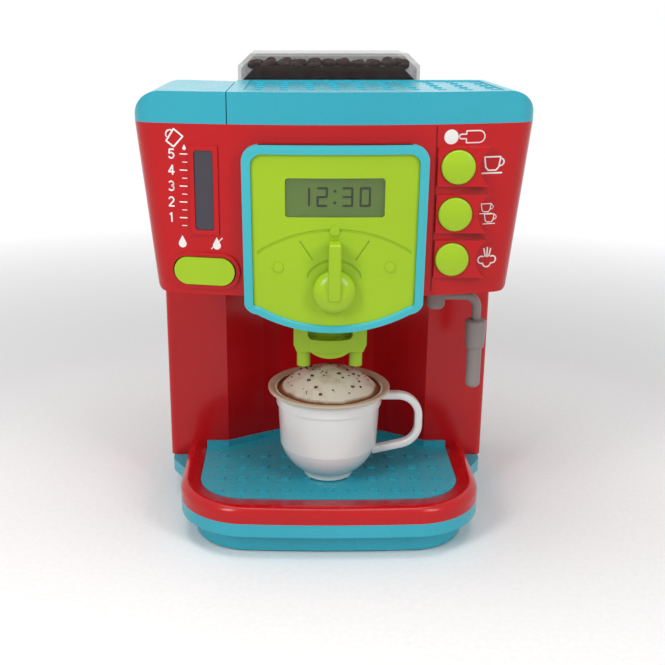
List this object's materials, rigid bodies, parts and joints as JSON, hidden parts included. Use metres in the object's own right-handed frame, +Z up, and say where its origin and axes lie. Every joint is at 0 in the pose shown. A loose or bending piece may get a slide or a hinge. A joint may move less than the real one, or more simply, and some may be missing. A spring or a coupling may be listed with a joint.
{
  "type": "toy coffee maker",
  "caption": "Child's coffee maker with an overhanging control head, turning selector, push buttons, rocker, lifting tank lid, steam wand, drip tray and a handled cup with foam.",
  "frame": {"origin": "On the ground, under the middle of the whole object's bounding box", "axes": "+Z up, -Y to the front with the controls, +X to the user's right"},
  "size_m": [0.209, 0.194, 0.277],
  "materials": {
    "red_shell": "glossy, lightly handled",
    "cyan_shell": "glossy, lightly handled",
    "cyan_bezel": "glossy",
    "lime_plastic": "glossy",
    "smoky_clear": "smoky clear moulding",
    "bean_brown": "satin moulded beans",
    "tinted_lens": "dark tinted window",
    "display_lens": "clear lens over a grey-green display",
    "display_grey": "grey-green display glass",
    "wand_grey": "satin grey",
    "cup_white": "glossy off-white",
    "foam_cream": "matt moulded foam",
    "board_green": "circuit board",
    "dome_rubber": "soft translucent dome",
    "inner_grey": "plain moulded",
    "tank_clear": "clear moulding",
    "hose_clear": "soft hose",
    "screw_steel": "zinc finish",
    "motor_steel": "drawn can",
    "contact_brass": "plated",
    "cell_metal": "printed sleeve, plain",
    "speaker_black": "black frame"
  },
  "bodies": {
    "machine": {"front_housing": "red_shell", "rear_housing": "red_shell", "tray_surround": "red_shell", "top_cap": "cyan_shell", "base_shell": "cyan_shell", "bottom_plate": "cyan_shell", "battery_door": "cyan_shell", "control_bezel": "cyan_bezel", "control_panel": "lime_plastic", "spout": "lime_plastic", "hopper_cover": "smoky_clear", "bean_bed": "bean_brown", "level_window": "tinted_lens", "display_lens": "display_lens", "display_module": "display_grey", "circuit_board": "board_green", "button_board": "board_green", "rocker_switches": "board_green", "rotary_switch": "inner_grey", "dome_one_cup": "dome_rubber", "dome_two_cups": "dome_rubber", "dome_steam": "dome_rubber", "water_tank": "tank_clear", "pump_head": "inner_grey", "pump_motor": "motor_steel", "suction_hose": "hose_clear", "delivery_hose": "hose_clear", "speaker": "speaker_black", "housing_screws": "screw_steel", "base_screws": "screw_steel", "door_screw": "screw_steel", "battery_contacts": "contact_brass", "battery_cells": "cell_metal"},
    "lid": {"tank_lid": "cyan_shell"},
    "knob": {"selector_knob": "lime_plastic"},
    "top_button": {"button_one_cup": "lime_plastic"},
    "middle_button": {"button_two_cups": "lime_plastic"},
    "low_button": {"button_steam": "lime_plastic"},
    "rocker": {"pump_rocker": "lime_plastic"},
    "wand": {"wand_arm": "wand_grey", "wand_collar": "wand_grey", "wand_nozzle": "wand_grey", "wand_clip": "inner_grey"},
    "tray": {"drip_tray": "cyan_shell"},
    "cup_set": {"cup": "cup_white", "foam_dome": "foam_cream"}
  },
  "joints": [
    {"name": "lid_lift", "type": "slide", "parent": "machine", "child": "lid", "axis": [0, 0, 1], "range_m": [0, 0.05]},
    {"name": "selector_turn", "type": "hinge", "parent": "machine", "child": "knob", "pos_m": [0, -0.09, 0.1615], "axis": [0, -1, 0], "range_deg": [-67, 67]},
    {"name": "top_press", "type": "slide", "parent": "machine", "child": "top_button", "axis": [0, 1, 0], "range_m": [0, 0.0025], "stiffness_N_per_m": 250, "springref_m": -0.001, "deforming": ["dome_one_cup"]},
    {"name": "middle_press", "type": "slide", "parent": "machine", "child": "middle_button", "axis": [0, 1, 0], "range_m": [0, 0.0025], "stiffness_N_per_m": 250, "springref_m": -0.001, "deforming": ["dome_two_cups"]},
    {"name": "low_press", "type": "slide", "parent": "machine", "child": "low_button", "axis": [0, 1, 0], "range_m": [0, 0.0025], "stiffness_N_per_m": 250, "springref_m": -0.001, "deforming": ["dome_steam"]},
    {"name": "rocker_tilt", "type": "hinge", "parent": "machine", "child": "rocker", "pos_m": [-0.0683, -0.071, 0.1695], "axis": [0, 0, 1], "range_deg": [-4, 4], "stiffness_Nm_per_rad": 0.08},
    {"name": "wand_swing", "type": "hinge", "parent": "machine", "child": "wand", "pos_m": [0.06, -0.04, 0.16], "axis": [0, 0, 1], "range_deg": [-80, 20]},
    {"name": "tray_lift", "type": "slide", "parent": "machine", "child": "tray", "axis": [0, 0, 1], "range_m": [0, 0.006]},
    {"name": "cup_take", "type": "slide", "parent": "tray", "child": "cup_set", "axis": [0, -0.9781, 0.2079], "range_m": [0, 0.12]}
  ]
}
